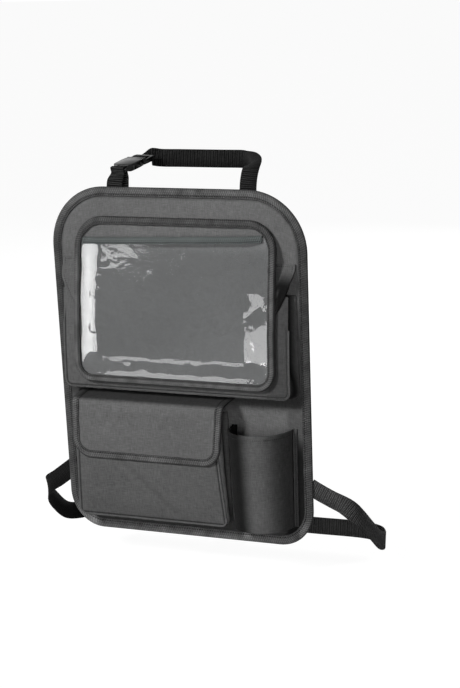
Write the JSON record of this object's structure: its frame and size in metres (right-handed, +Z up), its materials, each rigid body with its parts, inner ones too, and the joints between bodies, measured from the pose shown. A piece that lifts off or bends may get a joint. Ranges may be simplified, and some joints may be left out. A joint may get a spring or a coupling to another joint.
{
  "type": "car seat back organizer",
  "caption": "Bound cloth panel for the back of a car seat, with a clear tablet pocket, a wide pocket, a flapped box pocket, a bottle pocket and buckled straps.",
  "frame": {"origin": "centre of the panel's flat rear face, which lies against the seat back", "axes": "+Z up, +Y forwards into the seat back, +X to the right as the passenger behind sees it"},
  "size_m": [0.5071, 0.209, 0.5653],
  "materials": {
    "panel_cloth": "dark grey woven polyester with a fine plain weave, matte",
    "pocket_cloth": "charcoal woven polyester with a fine plain weave, matte",
    "binding_tape": "ribbed grey binding tape, folded and stitched",
    "window_tape": "dark greenish grey folded tape with one row of stitches",
    "closing_tape": "black hook and loop tape",
    "clear_film": "clear glossy film",
    "webbing": "black ribbed webbing",
    "buckle_plastic": "glossy black moulded plastic"
  },
  "bodies": {
    "root": {"back_panel": "panel_cloth", "panel_binding": "binding_tape", "wide_pocket_front": "pocket_cloth", "wide_pocket_gusset": "pocket_cloth", "wide_pocket_flap": "pocket_cloth", "tablet_pocket_back": "panel_cloth", "tablet_window": "clear_film", "window_top_tape": "window_tape", "tablet_pocket_binding": "binding_tape", "box_pocket_front": "pocket_cloth", "box_pocket_gusset": "pocket_cloth", "box_pocket_flap": "panel_cloth", "box_flap_binding": "binding_tape", "front_loop_tape": "closing_tape", "flap_hook_tape": "closing_tape", "bottle_pocket_sleeve": "pocket_cloth", "bottle_pocket_base": "pocket_cloth", "top_buckle_socket": "buckle_plastic", "top_buckle_clip": "buckle_plastic", "lower_buckle_socket": "buckle_plastic", "lower_buckle_clip": "buckle_plastic", "top_strap_long": "webbing", "top_strap_short": "webbing", "lower_strap_right": "webbing", "lower_strap_left": "webbing"}
  },
  "joints": []
}
